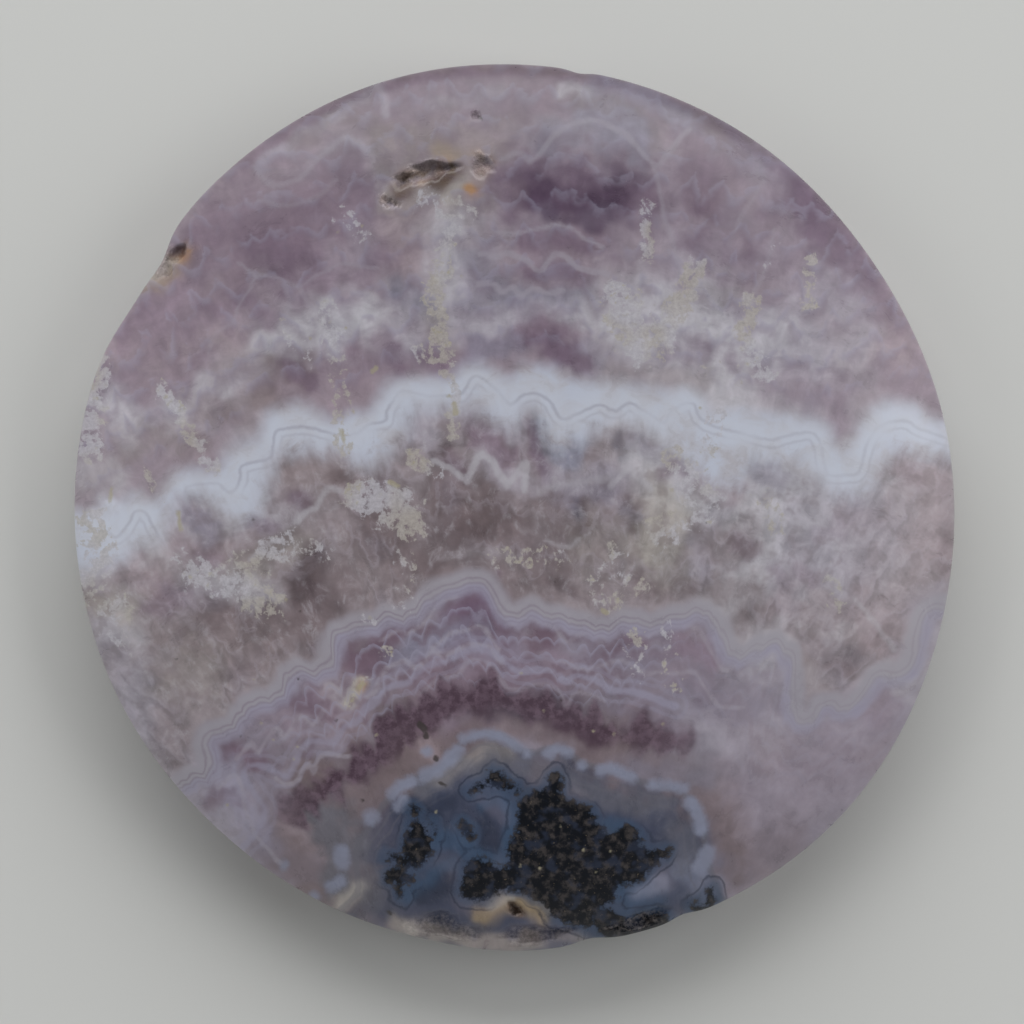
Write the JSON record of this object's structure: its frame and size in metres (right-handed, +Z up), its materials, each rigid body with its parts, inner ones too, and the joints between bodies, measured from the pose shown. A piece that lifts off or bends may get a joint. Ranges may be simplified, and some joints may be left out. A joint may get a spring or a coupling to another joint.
{
  "type": "agate cabochon",
  "caption": "Round low-domed cabochon of banded amethyst agate, polished on top, lying on its flat ground back.",
  "frame": {"origin": "under the middle of the stone, on its flat back", "axes": "+Z up out of the dome, +Y from the dark inclusion at the edge towards the open vug, +X to the right of that as seen from above"},
  "size_m": [0.04, 0.0404, 0.0072],
  "materials": {
    "agate": "polished"
  },
  "bodies": {
    "root": {"agate": "agate"}
  },
  "joints": []
}
